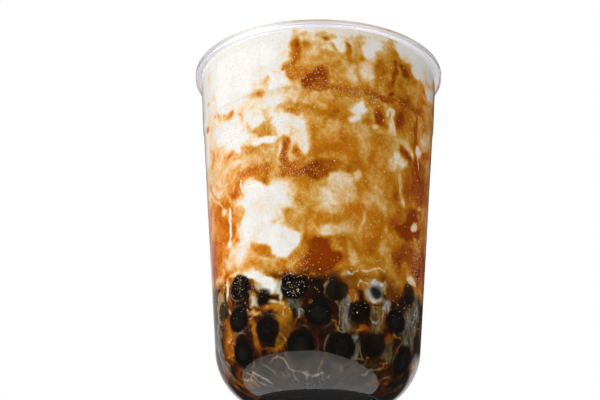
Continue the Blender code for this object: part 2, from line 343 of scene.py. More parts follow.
unit, unit_faces = ball(14, 22)
cooked_tapioca, tree, shader = finish_of("cooked_tapioca", Roughness=0.35, Specular_IOR_Level=0.02)
place = add(tree, "ShaderNodeTexCoord")
mottle = add(
    tree, "ShaderNodeTexNoise", None, {"Vector": place.outputs["Object"], "Scale": 1 / 0.003, "Detail": 3.0}
)
skin = add(
    tree, "ShaderNodeValToRGB", None, {"Fac": mottle.outputs["Fac"]}, [(0.35, "#11100C"), (0.7, "#1E1A14")]
)
tree.links.new(skin.outputs["Color"], shader.inputs["Base Color"])
rng = np.random.default_rng(5)
pearl_points, pearl_faces = [], []
for x, y, z, radius, press, clear in pearls:
    swell = 1 + 0.03 * rng.normal(size=3)
    centre = np.array([[x, y, z]])
    push = -inward(centre)[0] * (CLEARANCE + press * 0.001)
    points = unit * radius * swell + centre + push
    beyond = np.minimum(wall_limit(points, WALL - INTO_WALL), 0)[:, None]
    points = points - inward(points) * beyond
    points[:, 2] = np.maximum(points[:, 2], floor_height - INTO_WALL)
    pearl_faces.append(unit_faces + len(unit) * len(pearl_points))
    pearl_points.append(points)
pearl_points, pearl_faces = np.vstack(pearl_points), np.vstack(pearl_faces)
pearl_heap = make_piece("tapioca_pearls", pearl_points, pearl_faces, cooked_tapioca, 180)
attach(pearl_heap, "root")
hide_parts("pearls")


# THE DRINK. Cold milk poured over brown sugar syrup that was smeared round the wall: the syrup runs down
# in drips, marbles into the milk and sinks among the pearls. It wets the wall, so it is modelled 0.05 mm
# into the plastic.
DRINK_LEVEL = 0.1170
WETTING = 0.00005
WETTED = WALL - WETTING


def noise(points, size, seed):
    """Gradient noise about -1 to 1: each corner of a lattice of side size holds a random slope, and a
    point takes the slopes' rises to it, blended along each axis by 6t^5 - 15t^4 + 10t^3."""
    slopes = np.random.default_rng(seed).normal(size=(4096, 3))
    slopes /= np.linalg.norm(slopes, axis=1, keepdims=True)
    scaled = points / size + 512.37
    cell = np.floor(scaled).astype(np.int64)
    inside = scaled - cell
    fade = inside**3 * (inside * (inside * 6 - 15) + 10)
    total = np.zeros(len(points))
    for corner in ((i, j, k) for i in (0, 1) for j in (0, 1) for k in (0, 1)):
        step = np.array(corner)
        mixed = (cell + step) @ np.array([73856093, 19349663, 83492791])
        mixed = (mixed ^ (mixed >> 13)) * 1274126177
        slope = slopes[(mixed ^ (mixed >> 16)) & 4095]
        weight = np.prod(np.where(step, fade, 1 - fade), axis=1)
        total += np.einsum("ij,ij->i", slope, inside - step) * weight
    return total * 1.7


def layered(points, size, seed, octaves=4, fall=0.55):
    """Sum of octaves of noise, each half the size of the last and fall times its height."""
    return sum(noise(points, size / 2**o, seed + o) * fall**o for o in range(octaves)) / 1.4


def swirled(points, size, reach, seed):
    """The points moved by a random flow of that size, up to about reach, as stirring milk does."""
    return points + reach * np.stack([noise(points, size, seed + k) for k in range(3)], 1)


MM_PER_DEGREE = 0.70  # along the wall, at about half its height
ROUNDNESS = 2.3  # of a pool's outline: 2 is an ellipse, more is squarer

# What the front of the cup shows, from milk (0) through cream (0.15), tan (0.35), golden syrup (0.5) and
# brown syrup (0.7) to dark syrup (0.9): azimuth in degrees, height, half width and half height in mm,
# lean in degrees, and the syrup's share. The broad grounds have soft edges.
GROUNDS = [
    (-48, 110, 30, 20, 0, 0.02), (-70, 106, 7, 14, 0, 0.09), (5, 107, 12, 9, 0, 0.42),
    (28, 107, 8, 9, 0, 0.34), (2, 116.5, 13, 3.4, 0, 0.20), (52, 103, 14, 8, 0, 0.51),
    (68, 103, 6, 6, 0, 0.46), (-66, 91, 10, 7, 0, 0.16), (-30, 93, 9, 5, 0, 0.17), (-6, 93, 8, 4, 0, 0.36),
    (12, 94, 9, 5, 0, 0.46), (30, 90, 9, 6, 0, 0.46), (50, 93, 9, 6, 0, 0.55), (67, 93, 5, 5, 0, 0.42),
    (-50, 87, 9, 5, 0, 0.04), (12, 82, 14, 6, 0, 0.44), (45, 84, 9, 4, 0, 0.42), (-58, 76, 13, 5, 0, 0.40),
    (-62, 69, 10, 4, -10, 0.27), (-30, 76, 12, 5, 0, 0.36), (-42, 68, 5, 4, 0, 0.48),
    (8, 72, 12, 7, 0, 0.52), (36, 66, 10, 10, 0, 0.44), (60, 72, 10, 9, 0, 0.68), (-68, 57, 9, 9, 0, 0.52),
    (-55, 57, 7, 8, 0, 0.62), (-38, 57, 8, 8, 0, 0.16), (-22, 58, 8, 9, 0, 0.12), (5, 60, 10, 5, 0, 0.28),
    (28, 55, 8, 7, 0, 0.46), (45, 56, 7, 6, 0, 0.56), (-66, 46, 10, 6, 0, 0.58), (-48, 44, 8, 4, 0, 0.19),
    (-26, 46, 9, 6, 0, 0.05), (0, 43, 6, 6, 0, 0.80), (-12, 40, 6, 3, 0, 0.60), (24, 43, 9, 6, 0, 0.52),
    (40, 45, 7, 5, 0, 0.46), (56, 46, 8, 5, 0, 0.66), (70, 45, 7, 7, 0, 0.70), (-88, 102, 9, 22, 0, 0.10),
    (-88, 52, 9, 16, 0, 0.54),
]
POOLS = [
    # the collar
    (6, 119.2, 34, 1.5, 0, 0.12), (-31, 103.5, 2.8, 3.6, 0, 0.16), (-26, 101.5, 1, 2, 0, 0.28),
    (-66, 113, 0.8, 3.5, 10, 0.24), (-68, 103.8, 1.8, 1, -10, 0.30), (-62.5, 103.6, 1.4, 1, 0, 0.22),
    (-43, 99.6, 1.6, 1.2, 0, 0.17), (-10.6, 111.5, 1.7, 8.5, 0, 0.60), (-10.6, 113.6, 1.1, 3.6, 0, 0.74),
    (-9, 107, 1.3, 2, 0, 0.50), (-10.8, 118.8, 1.2, 1.4, 0, 0.36), (-13.5, 107, 1.8, 1.6, 20, 0.56),
    (-15.5, 105.6, 0.8, 0.6, 0, 0.66), (-12, 103.4, 1.2, 2.4, 0, 0.54), (-9, 104.5, 3.2, 2.6, 0, 0.50),
    (-5.6, 99.6, 2.1, 2.0, 0, 0.80), (-2, 102.6, 2.6, 1.7, 30, 0.78), (1.5, 102, 2.6, 3.4, 0, 0.74),
    (4, 98.8, 2.4, 1.2, 0, 0.72), (-5.5, 113.6, 1.2, 1.0, 0, 0.50), (-3, 111.4, 2.0, 1.6, 0, 0.22),
    (0, 117.4, 1.6, 1.0, 0, 0.38), (-6, 117.2, 0.9, 0.8, 0, 0.34), (2.6, 115.8, 1.3, 0.9, 10, 0.66),
    (5.6, 117, 1.6, 1.1, 0, 0.42), (7, 112.8, 1.6, 1.0, -40, 0.52), (4, 109, 2.6, 2.6, 0, 0.36),
    (3, 112.3, 1.6, 0.9, 0, 0.18), (10, 113.5, 1.6, 2.2, 0, 0.20), (13.5, 112.6, 1.0, 3.2, 4, 0.62),
    (13.9, 114, 0.7, 1.6, 0, 0.74), (14.2, 109, 0.9, 1.2, 0, 0.58), (19, 114, 1.6, 3.6, 0, 0.42),
    (21, 117, 1.3, 1.6, 0, 0.40), (21.5, 109.6, 1.6, 1.2, 10, 0.56), (25, 113.4, 2.4, 3.8, 0, 0.14),
    (28, 116.4, 3.0, 2.0, 0, 0.13), (24, 105.8, 3.0, 3.2, 0, 0.22), (16, 104, 1.4, 2.6, 0, 0.28),
    (8, 106, 1.6, 2.0, 0, 0.54), (11, 104.6, 1.2, 1.0, 0, 0.56), (22, 99, 3, 1.4, 0, 0.50),
    (33, 109, 3.4, 4.4, 0, 0.54), (37, 112.5, 2.6, 6.5, 0, 0.56), (38.2, 111.5, 0.9, 4, 0, 0.66),
    (44, 109.6, 3.6, 1.4, -24, 0.72), (46, 108.2, 1.6, 0.9, -20, 0.80), (38.4, 105, 0.9, 3.0, -10, 0.78),
    (37.4, 103.3, 0.9, 0.6, 0, 0.84), (44, 106.4, 2.4, 0.8, 20, 0.38), (34, 104.4, 2.6, 1.4, 0, 0.42),
    (41, 103.4, 3, 1.0, 24, 0.46), (52, 108.6, 3.0, 2.0, 0, 0.56), (62, 108.4, 5.0, 2.0, 0, 0.50),
    # the pale beige patches high on the right, up to the flange, are partly milk film and partly painted
    # shade
    (47.5, 115.6, 4.6, 4.4, 0, 0.15), (62, 115.4, 12, 4.8, -6, 0.14), (54, 111.4, 3, 2, 0, 0.16),
    (71, 109.6, 5, 4, -24, 0.16), (46, 99.6, 4.0, 2.0, 0, 0.74), (34, 97.6, 3.6, 1.0, 0, 0.80),
    (38, 99.6, 1.2, 0.8, 30, 0.84), (24, 97.6, 5, 1.2, 0, 0.58), (56, 98.8, 4.5, 1.4, 0, 0.72),
    (44, 102.6, 1.6, 1.0, 0, 0.66), (62, 102, 4, 1.2, 14, 0.62),
    # the ledge, and the bands under it
    (-60.5, 97.2, 1.6, 0.7, 10, 0.46), (-57, 96.0, 2.4, 1.1, -14, 0.42), (-52.5, 95, 3.4, 1.5, -8, 0.38),
    (-53.4, 96.4, 0.7, 0.5, 0, 0.60), (-49, 94.2, 1.2, 0.8, 0, 0.54), (-41.5, 92.6, 1.2, 0.5, 0, 0.34),
    (-73, 95.8, 1.4, 1.2, -20, 0.62), (-31, 98.2, 3.6, 1.6, 0, 0.30), (-29.6, 98, 1.3, 0.8, 0, 0.44),
    (-20, 97.8, 5, 0.8, 0, 0.28), (-10, 97.4, 3, 1.0, 0, 0.42), (-26, 94.6, 6, 2.0, 0, 0.14),
    (-24, 91.4, 5, 1.2, -6, 0.22), (-38, 93, 1.2, 4, 0, 0.17), (-12, 91.8, 4.4, 1.4, 0, 0.46),
    (-12, 89.4, 2.4, 1.2, 0, 0.50), (-3, 90, 3.6, 2.4, 0, 0.58), (4, 89.6, 5, 1.6, 0, 0.54),
    (10, 88, 3.0, 1.4, 0, 0.50), (-2, 85.4, 2.2, 3.4, 0, 0.50), (-2.6, 82, 1.4, 1.6, 0, 0.58),
    (-34, 90.4, 2.6, 0.7, -30, 0.12), (-35.6, 88, 1.6, 1.4, 0, 0.32), (-31, 86.5, 2.4, 1.0, -8, 0.40),
    (-25.6, 86.6, 2.4, 1.0, 0, 0.34), (-22.4, 83.4, 0.8, 3.4, 0, 0.34), (-30, 88.8, 2.2, 0.9, 0, 0.12),
    (-14, 85.4, 5.2, 4.2, -14, 0.08), (-9, 80.4, 3.0, 3.6, -10, 0.10), (-53, 87, 7.4, 2.6, 0, 0.02),
    (-46, 83.4, 4.6, 2.8, 0, 0.02), (-43.5, 80.6, 1.6, 1.6, 0, 0.02), (-29, 82, 5.2, 1.5, 0, 0.03),
    (-24.6, 81, 1.9, 1.3, 0, 0.03), (-58, 89.5, 4, 1.5, 0, 0.10), (20, 91.6, 3.2, 2.4, 30, 0.14),
    (17.6, 88.2, 2.2, 1.4, 20, 0.15), (24, 93.8, 1.6, 1.4, 0, 0.40), (29, 92, 2.2, 3.4, 0, 0.38),
    (23.4, 87.6, 2.2, 0.9, 0, 0.60), (31.8, 90.5, 1.8, 3.8, 6, 0.74), (35, 88.2, 2.4, 0.9, -10, 0.64),
    (30, 86.4, 2.0, 1.2, 0, 0.17), (33, 84.6, 2.4, 1.0, 0, 0.28), (40, 88.6, 1.3, 2.4, 24, 0.22),
    (44.6, 91, 2.0, 2.8, 0, 0.72), (51, 93.4, 2.4, 1.4, 0, 0.52), (47, 86, 3.4, 1.0, 10, 0.34),
    (48, 83.6, 3.6, 1.6, -10, 0.22), (53.4, 82, 1.6, 1.5, 0, 0.18), (38, 82.8, 3.0, 1.4, 0, 0.36),
    (46.6, 80.4, 2.0, 2.0, 0, 0.74), (57, 88, 1.2, 4.6, 0, 0.72), (61.4, 84.8, 2.9, 1.3, 0, 0.13),
    (59, 80, 2.6, 2.4, 0, 0.74), (52, 78, 2.8, 2.2, 0, 0.72), (68, 81.6, 2.4, 0.7, 0, 0.40),
    (70, 85, 4, 1.6, 16, 0.66), (68, 90.6, 4.4, 2.0, 14, 0.24), (44, 77, 3.2, 2.4, 0, 0.22),
    (40, 74.4, 2.2, 2.4, 0, 0.30), (37, 78, 2, 2, 0, 0.38),
    # the middle of the cup
    (-50, 79.4, 1.8, 0.8, -14, 0.52), (-52, 78.4, 4, 1, -8, 0.40), (-63, 80, 5, 2, 0, 0.32),
    (-73.6, 73.6, 2, 1.6, 0, 0.50), (-67, 70, 5.4, 1.3, -24, 0.20), (-63, 72.6, 4.6, 0.9, -24, 0.40),
    (-45, 75.6, 2.8, 0.7, 0, 0.20), (-42.5, 71.6, 1.8, 1.8, 0, 0.48), (-44, 67.2, 2.8, 2.4, 10, 0.58),
    (-49, 70, 3.0, 2.4, 0, 0.36), (-25, 79.2, 2.2, 0.8, -10, 0.48), (-36, 76, 3, 1.4, 0, 0.30),
    (-35, 71.8, 3.6, 1.3, 0, 0.54), (-29.4, 71.4, 3.2, 2.2, 0, 0.60), (-28.6, 68.4, 2.4, 1.4, -20, 0.64),
    (-23, 72.4, 2.6, 2.4, 0, 0.52), (-15.8, 75.6, 1.6, 3.8, 4, 0.68), (-20.6, 77, 1.0, 2.6, 0, 0.46),
    (-18.4, 77, 0.7, 2.2, 0, 0.20), (-12.4, 75.4, 1.2, 3.0, 0, 0.26), (-10.6, 77, 0.8, 1.8, 0, 0.52),
    (-7, 77, 1.4, 2.0, 0, 0.12), (-15, 71, 3.6, 2, 0, 0.60), (-9, 69, 3, 1.6, 0, 0.62),
    (-36, 64.6, 3.0, 3.6, -10, 0.08), (-31.4, 64.4, 3.0, 3.0, -14, 0.06), (-68, 62, 5, 4, 0, 0.46),
    (-56, 62.4, 3.6, 2.0, -24, 0.60), (-60, 60, 2.0, 3.2, 14, 0.64), (-52.4, 61.4, 2.4, 1.6, -30, 0.66),
    (-49.8, 55.4, 1.5, 4.4, 4, 0.68), (-56, 54, 2.4, 3.6, 0, 0.62), (-66, 52.6, 4.4, 3.4, 0, 0.58),
    (-45, 57, 3.4, 3.4, 0, 0.44), (-58, 60.8, 1.3, 1.0, -30, 0.30), (-54.8, 49, 1.5, 1.1, 0, 0.02),
    (-36, 52, 3.6, 5.0, 0, 0.05), (-28, 52, 4, 5, 0, 0.05), (-20, 46.6, 5.4, 5.6, -10, 0.04),
    (-15, 48, 4, 4, 0, 0.07), (-24, 60, 5, 4, 0, 0.13), (2, 69.5, 6.0, 3.6, 0, 0.78),
    (8, 71, 4.4, 2.4, -10, 0.74), (13, 70.4, 2.6, 1.5, 0, 0.60), (12, 65.4, 5.0, 3.6, 20, 0.22),
    (6, 60.6, 6.4, 2.6, -14, 0.24), (20.6, 68.4, 2.2, 1.8, 0, 0.20), (17, 62, 2.6, 4, 0, 0.24),
    (2, 53.4, 5.6, 1.6, 0, 0.50), (8, 49.4, 6.4, 2.4, 12, 0.22), (-10, 52, 3.6, 2, -30, 0.44),
    (-14, 55, 4, 1.6, -35, 0.40), (-8, 59, 3, 1.4, -30, 0.34), (22.6, 53.6, 0.8, 3.0, -24, 0.18),
    (30, 60, 5, 3, 0, 0.38), (32, 52, 5, 3, 0, 0.50), (36.5, 50, 2.6, 1.2, 0, 0.42),
    (40, 62, 3.4, 2.4, 0, 0.46), (44, 64.4, 2.0, 1.0, 0, 0.60), (46.6, 68, 0.9, 4.0, 0, 0.34),
    (48.4, 63, 1.4, 1.8, -30, 0.26), (53, 68, 3.6, 5, 0, 0.60), (63, 70, 4.6, 5.0, 0, 0.74),
    (58, 76, 4.4, 2.6, 0, 0.70), (50, 74.6, 2.6, 2.4, 0, 0.56), (64, 64.6, 1.3, 0.5, 10, 0.30),
    (60, 62.4, 4.6, 1.0, 16, 0.72), (57, 56, 7.0, 4.4, 24, 0.94), (60, 57, 3.2, 1.5, 22, 0.12),
    (60, 49.6, 5, 1.4, 0, 0.50),
    # above the pearls
    (-73, 42, 2.6, 4.4, 0, 0.82), (-68, 46.6, 4.4, 2.6, 0, 0.62), (-64, 42.4, 3.0, 1.8, 10, 0.46),
    (-57.6, 46.4, 2.4, 1.6, 0, 0.56), (-57.6, 38.6, 3.0, 1.2, 8, 0.66), (-66, 38.4, 3.4, 1.6, 0, 0.15),
    (-52, 42.6, 3.4, 1.6, 0, 0.24), (-43.6, 47.8, 3.2, 1.2, 6, 0.10), (-34.8, 45.4, 1.8, 1.6, 0, 0.42),
    (-30.4, 43.4, 3.2, 2.0, -16, 0.46), (-27, 41.4, 2.6, 1.0, -20, 0.44), (53, 46, 5.0, 2.4, 0, 0.68),
    (46, 43.4, 2.4, 2.4, 0, 0.66), (35.6, 44.6, 3.6, 1.2, 0, 0.32), (40.4, 42.2, 2.0, 1.8, 0, 0.30),
    (31, 39.4, 2, 2, 0, 0.58), (9.8, 42.4, 2.0, 1.7, -20, 0.30), (14, 43.6, 2.2, 0.9, 20, 0.52),
    (17.4, 41, 1.4, 3.8, 10, 0.32), (24.6, 41.4, 3.4, 3.4, 0, 0.56), (1, 43, 4.4, 3.4, 0, 0.84),
    (4.4, 39, 4.6, 3.0, 0, 0.90), (-4, 41.6, 3, 2.4, 20, 0.76), (-9, 41.6, 2.6, 1.4, 14, 0.62),
    (-16, 38.6, 4, 1.4, 0, 0.48), (57.4, 38.2, 3.4, 1.4, 0, 0.17), (51, 38.6, 2.4, 2, 0, 0.60),
]
# Thin streaks over them: the syrup's share, the width in mm, and the points (azimuth, height) that each
# runs through.
STREAKS = [
    (0.02, 0.70, (-52.6, 61), (-52.2, 56), (-54.2, 50.5)),
    (0.08, 0.45, (-40.2, 70), (-39.8, 62), (-41, 55), (-44.5, 48.6)),
    (0.28, 0.45, (-74, 71.5), (-66, 66.8), (-60, 63.4), (-56, 61)),
    (0.46, 0.40, (-73, 73), (-66, 68.2), (-60, 65)), (0.78, 0.60, (37.8, 102.5), (38.6, 106), (38.2, 111)),
    (0.76, 0.60, (57.6, 97), (57, 91), (57.4, 85)),
    (0.20, 0.70, (36.2, 92.4), (36.6, 94.2), (37.8, 95), (38.8, 94.2), (38.8, 92), (39.6, 90), (41, 88.4),
     (42, 86.4)),
    (0.24, 0.40, (60.4, 83), (62, 78)), (0.66, 0.60, (-6, 98.4), (6, 98.3), (18, 98.4)),
    (0.74, 0.60, (28, 98.2), (46, 98.0)), (0.22, 0.40, (-60.6, 101), (-61, 96)),
    (0.30, 0.40, (45.5, 72), (45, 68.5), (45.6, 65.5)),
    (0.15, 0.45, (20, 36.0), (27, 37.2), (33, 38.4), (38, 37.8)),
]
# The same round the pearls, with one more number: how much of the dark behind shows through.
VEILS = [
    # broad grounds
    (0, 22, 60, 20, 0, 0.84, 0.93), (1, 28, 4.4, 10, 0, 0.86, 0.97), (-57, 25, 4.5, 9, 0, 0.70, 0.72),
    (-66, 29, 4.4, 6, 0, 0.30, 0.50), (-70, 16, 4.0, 9, 0, 0.10, 0.78), (-58, 17, 4.6, 6, 0, 0.66, 0.50),
    (59, 21, 5.4, 8, 0, 0.20, 0.88), (-6, 5, 34, 4, 0, 0.30, 0.955), (42, 12, 4, 4, 0, 0.3, 0.90),
    (66, 28, 3.4, 8, 0, 0.18, 0.86), (24, 34, 8, 3.0, 4, 0.62, 0.30), (16, 31, 3, 5, 0, 0.62, 0.48),
    (34, 20, 3.4, 6, 0, 0.30, 0.80), (44, 32, 5, 3.4, 0, 0.74, 0.62), (-19, 19, 4.0, 7, 0, 0.58, 0.70),
    (15, 22, 3.6, 7, 0, 0.22, 0.86),
    # amber and gold
    (-58, 18, 1.5, 5.4, -4, 0.60, 0.24), (-55, 13.6, 2.4, 2.0, 30, 0.66, 0.30),
    (-19, 21.5, 2.4, 3.4, -14, 0.56, 0.34), (-25, 24.4, 5.0, 1.4, -5, 0.52, 0.10),
    (-36, 16.5, 0.9, 5.0, 8, 0.52, 0.40), (-24, 11.8, 3.4, 0.8, 24, 0.50, 0.42),
    (19, 27.6, 2.6, 2.4, 0, 0.58, 0.34), (24, 17.6, 3.6, 0.9, 10, 0.60, 0.45),
    (43, 15.5, 3.8, 1.4, 24, 0.62, 0.62), (37, 23, 1.2, 3.4, 0, 0.70, 0.62),
    # milk drawn down between them
    (-47, 38.8, 6.4, 1.2, 6, 0.08, 0.0), (-37, 36.8, 6.0, 1.8, -14, 0.05, 0.0),
    (-29, 32.8, 5.6, 2.0, -24, 0.05, 0.06), (-56, 34, 1.6, 4.0, 10, 0.22, 0.05),
    (-33, 32, 2.6, 1.3, 0, 0.20, 0.42), (-20.6, 29.4, 1.3, 3.4, 10, 0.10, 0.34),
    (-36.5, 27.5, 2.6, 2.2, 0, 0.16, 0.30), (-24, 26.6, 3.0, 0.9, -18, 0.18, 0.12),
    (-36, 23.4, 3.6, 0.9, -20, 0.30, 0.25), (-60, 30, 2.4, 0.6, -30, 0.22, 0.15),
    (-56, 27, 1.6, 0.6, -50, 0.26, 0.25), (60, 38.2, 4.6, 1.6, 0, 0.17, 0.0),
    (33, 29.8, 4.4, 3.6, 0, 0.12, 0.34), (33, 33.6, 3.6, 0.8, 0, 0.10, 0.40),
    (40, 26.4, 2.4, 2.4, 0, 0.08, 0.76), (12.6, 34.4, 2.0, 1.2, 0, 0.26, 0.36),
    (4.4, 30.5, 0.7, 1.8, -10, 0.18, 0.62), (7.6, 29.4, 1.6, 2.2, 0, 0.2, 0.90),
    (-11, 24, 2.8, 3.6, 0, 0.18, 0.90), (20, 12, 2.2, 3.4, 0, 0.16, 0.92),
]
# Thin veins there: the share, the dark, the width and the points.
VEINS = [
    (0.05, 0.66, 0.40, (10, 26), (11.6, 21), (10.8, 16.5)),
    (0.05, 0.70, 0.35, (13, 27), (14.2, 22), (13.6, 17)),
    (0.05, 0.72, 0.35, (15.4, 28), (17, 24), (15.6, 19)),
    (0.05, 0.66, 0.40, (40, 28), (37.6, 24), (36, 20)), (0.05, 0.70, 0.35, (42, 26), (41, 22)),
    (0.50, 0.58, 0.50, (-37, 22), (-37.4, 16), (-33, 11.6), (-27, 11)),
    (0.48, 0.58, 0.50, (-27, 11), (-22.6, 14), (-20, 19)),
    (0.14, 0.45, 0.40, (-64, 31), (-59, 29.6), (-55.6, 26)),
    (0.14, 0.40, 0.45, (-57, 5), (-50, 4.2), (-44, 5), (-38, 3)),
    (0.05, 0.60, 0.35, (-50, 6.4), (-46, 4.6), (-42, 2.4)),
    (0.05, 0.64, 0.35, (-30, 7.4), (-24, 9.4), (-16, 6.0), (-8, 3.4), (0, 4.0)),
    (0.05, 0.68, 0.35, (-16, 5.4), (-15, 2)), (0.05, 0.68, 0.35, (-3, 4), (-2, 1.5)),
    (0.05, 0.68, 0.35, (2, 4.4), (5, 2.4), (12, 1.6), (20, 2.6)),
    (0.06, 0.70, 0.40, (30, 4), (38, 6.4), (44, 8.6)), (0.06, 0.7, 0.35, (46, 4.6), (54, 5.6)),
    (0.20, 0.50, 0.35, (-62, 12.6), (-52, 12.2), (-46, 11.8)),
    (0.62, 0.25, 0.60, (-60, 24), (-59.4, 17), (-57, 11)),
]


def azimuth_of(points):
    """Degrees round the axis from the front, growing towards +X."""
    return np.degrees(np.arctan2(points[:, 0], -points[:, 1]))


def smooth(values, low, high):
    """0 below low, 1 above high, and 3t^2 - 2t^3 between."""
    t = np.clip((values - low) / (high - low), 0, 1)
    return t * t * (3 - 2 * t)


def lay(pools, grounds, az, z, rough, soft=0.0):
    """Paints pools in order over the grounds, one array for each of a pool's last numbers. A pool is a
    rounded oblong: it ends where the distance from its middle, with the roughness added, reaches 1. Soft
    widens its edge."""
    for at, height, wide, high, lean, *values in pools:
        across = ((az - at + 180) % 360 - 180) * MM_PER_DEGREE
        up = z - height
        c, s = math.cos(math.radians(lean)), math.sin(math.radians(lean))
        along, over = np.abs((across * c + up * s) / wide), np.abs((up * c - across * s) / high)
        far = (along**ROUNDNESS + over**ROUNDNESS) ** (1 / ROUNDNESS)
        thin = min(wide, high)
        far = far + rough * min(1.0, 0.55 + thin / 9)
        edge = min(0.75, 0.50 / thin + 0.2 + soft)  # half a millimetre, more for a large pool
        inside = 1 - smooth(far, 1 - edge, 1 + edge)
        for ground, value in zip(grounds, values):
            ground += inside * (value - ground)


def draw_streak(route, width, az, z, rough):
    """1 along the line through the route's points (azimuth, height), 0 beyond about its width in mm."""
    nearest = np.full(len(az), 99.0)
    for (a0, z0), (a1, z1) in zip(route, route[1:]):
        run, rise = (a1 - a0) * MM_PER_DEGREE, z1 - z0
        across, up = (az - a0) * MM_PER_DEGREE, z - z0
        along = np.clip((across * run + up * rise) / (run * run + rise * rise), 0, 1)
        nearest = np.minimum(nearest, np.hypot(across - along * run, up - along * rise))
    return 1 - smooth(nearest / width + 0.8 * rough, 0.35, 1.25)


def syrup_share(mm, az, front):
    """Share of syrup at the wall: swirled noise round the back, pools painted in order at the front with
    rough edges, milk pushed towards tan right of the middle as painted shade, then soft mottling over both,
    a beige band under the flange that is partly thin milk film and partly painted shade, and thin streaks at
    the front."""
    stirred = swirled(swirled(swirled(mm, 17, 3.0, 20), 6, 1.5, 30), 2.4, 0.6, 40)
    long = stirred * np.array([1, 1, 0.62])
    share = 0.42 + 0.60 * layered(long, 19, 50) + 0.2 * smooth(-mm[:, 2], -60, -38)
    share += front * (0.42 - share) * 0.85
    nudged = swirled(swirled(swirled(mm, 11, 1.4, 300), 4, 0.8, 310), 1.5, 0.25, 320)
    rough = 0.52 * layered(nudged, 7, 330, 4, 0.52)
    painted = share.copy()
    lay(GROUNDS, [painted], azimuth_of(nudged), nudged[:, 2], rough, 0.4)
    lay(POOLS, [painted], azimuth_of(nudged), nudged[:, 2], rough)
    share += front * (painted - share)
    # Right of the middle, milk and pale syrup are pushed towards tan: painted shade on the side away from
    # the key light.
    share += front * smooth(az, -22, 6) * (0.04 * smooth(share, 0.1, 0.3) + np.maximum(0.13 - share, 0))
    drawn_out = swirled(swirled(mm, 9, 2.4, 60), 3, 0.6, 65) * np.array([1, 1, 0.7])
    mottled = np.tanh(2.0 * layered(drawn_out, 6.5, 70, 4, 0.5))
    fine = layered(nudged, 1.5, 75, 2, 0.7)
    clouds = np.maximum(layered(nudged * np.array([1, 1, 0.6]), 4.5, 350, 3, 0.6), 0)
    share += 0.10 * clouds * smooth(0.2 - share, 0, 0.15)
    share += (0.60 * mottled + 0.30 * fine) * (0.02 + np.clip(share, 0, 1) * np.clip(1 - share, 0, 1))
    # A beige band just under the flange, weaker a little right of the middle: partly a thin milk film,
    # partly painted shade cast by the flange.
    film_and_flange_shade = smooth(mm[:, 2] + 0.5 * noise(mm, 9, 345), 115.4, 117.4)
    film_and_flange_shade = film_and_flange_shade * (0.35 + 0.65 * smooth(np.abs(az - 14), 22, 30))
    share += front * film_and_flange_shade * (0.09 - share)
    for value, width, *route in STREAKS:
        drawn = draw_streak(route, width, azimuth_of(nudged), nudged[:, 2], rough)
        share += front * drawn * (value - share)
    return share


def cover_of_pearls(points):
    """For each wall point: how clearly the nearest pearls show, and the distance along the wall from the
    middle of the nearest, in pearl radii. A pearl shows where less than about 2 mm of drink lies over
    it."""
    shown, ratio = np.zeros(len(points)), np.full(len(points), 9.0)
    low = points[:, 2] < 0.046
    near, into = points[low], inward(points[low])
    hazy = 0.5 * noise(near * 1000, 3, 140)
    for x, y, z, radius, press, clear in pearls:
        apart = np.array([x, y, z]) - near
        depth = np.einsum("ij,ij->i", apart, into)
        aside = np.sqrt(np.maximum(np.einsum("ij,ij->i", apart, apart) - depth**2, 0))
        over = (depth - CLEARANCE - press * 0.001 - np.sqrt(np.maximum(radius**2 - aside**2, 0))) * 1000
        seen = clear * smooth(-over - hazy, -2.3, -0.9) * (aside < radius)
        shown[low] = np.maximum(shown[low], seen)
        ratio[low] = np.where(depth < 2 * radius, np.minimum(ratio[low], aside / radius), ratio[low])
    return shown, ratio


